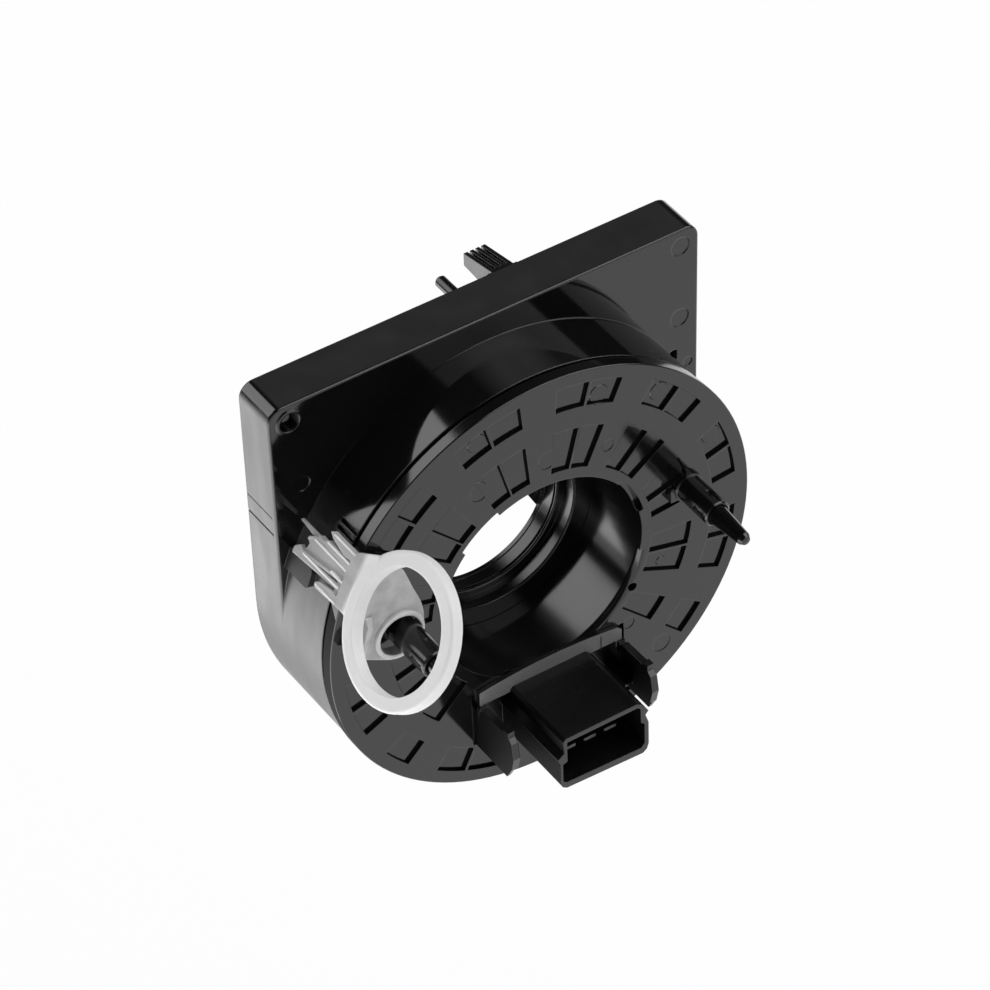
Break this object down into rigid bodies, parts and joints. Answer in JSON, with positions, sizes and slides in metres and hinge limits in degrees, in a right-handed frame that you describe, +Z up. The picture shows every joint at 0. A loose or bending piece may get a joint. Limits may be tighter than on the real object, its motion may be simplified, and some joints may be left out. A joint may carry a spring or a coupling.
{
  "type": "steering clock spring",
  "caption": "Rotary cable unit for a steering column: a fixed housing with a coiled flat cable, a turning rotor with a wheel connector, and a pull-out transport lock.",
  "frame": {"origin": "centre of the rotor's front face on the steering axis", "axes": "-Y towards the steering wheel along the axis, +Z up, +X to the right as seen from the wheel"},
  "size_m": [0.097, 0.0709, 0.0978],
  "materials": {
    "black_plastic": "glossy moulded black plastic, faintly grained",
    "white_plastic": "milky white, slightly translucent moulding",
    "plated_contact": "tin-plated contact metal",
    "zinc_screw": "zinc-plated steel",
    "cable_film": "laminated polyester ribbon with copper strips",
    "glide_film": "smooth low-friction film",
    "terminal_carrier": "dark moulded carrier"
  },
  "bodies": {
    "housing": {"stator_housing": "black_plastic", "rear_cover": "black_plastic", "cover_screw": "zinc_screw", "harness_socket": "black_plastic", "harness_pin_left": "plated_contact", "harness_pin_middle": "plated_contact", "harness_pin_right": "plated_contact", "outer_cable_terminal": "terminal_carrier", "flat_cable": "cable_film", "rear_glide_sheet": "glide_film"},
    "rotor": {"rotor_disc": "black_plastic", "rotor_hub": "black_plastic", "right_driver_post": "black_plastic", "left_driver_post": "black_plastic", "wheel_connector": "black_plastic", "contact_blade_left": "plated_contact", "contact_blade_middle": "plated_contact", "contact_blade_right": "plated_contact", "inner_cable_terminal": "terminal_carrier", "front_glide_sheet": "glide_film"},
    "transport_lock": {"transport_lock": "white_plastic"}
  },
  "joints": [
    {"name": "rotor_turn", "type": "hinge", "parent": "housing", "child": "rotor", "pos_m": [0, 0, 0], "axis": [0, 1, 0], "range_deg": [-900, 900]},
    {"name": "lock_pull", "type": "slide", "parent": "rotor", "child": "transport_lock", "axis": [0, -1, 0], "range_m": [0, 0.03]}
  ]
}
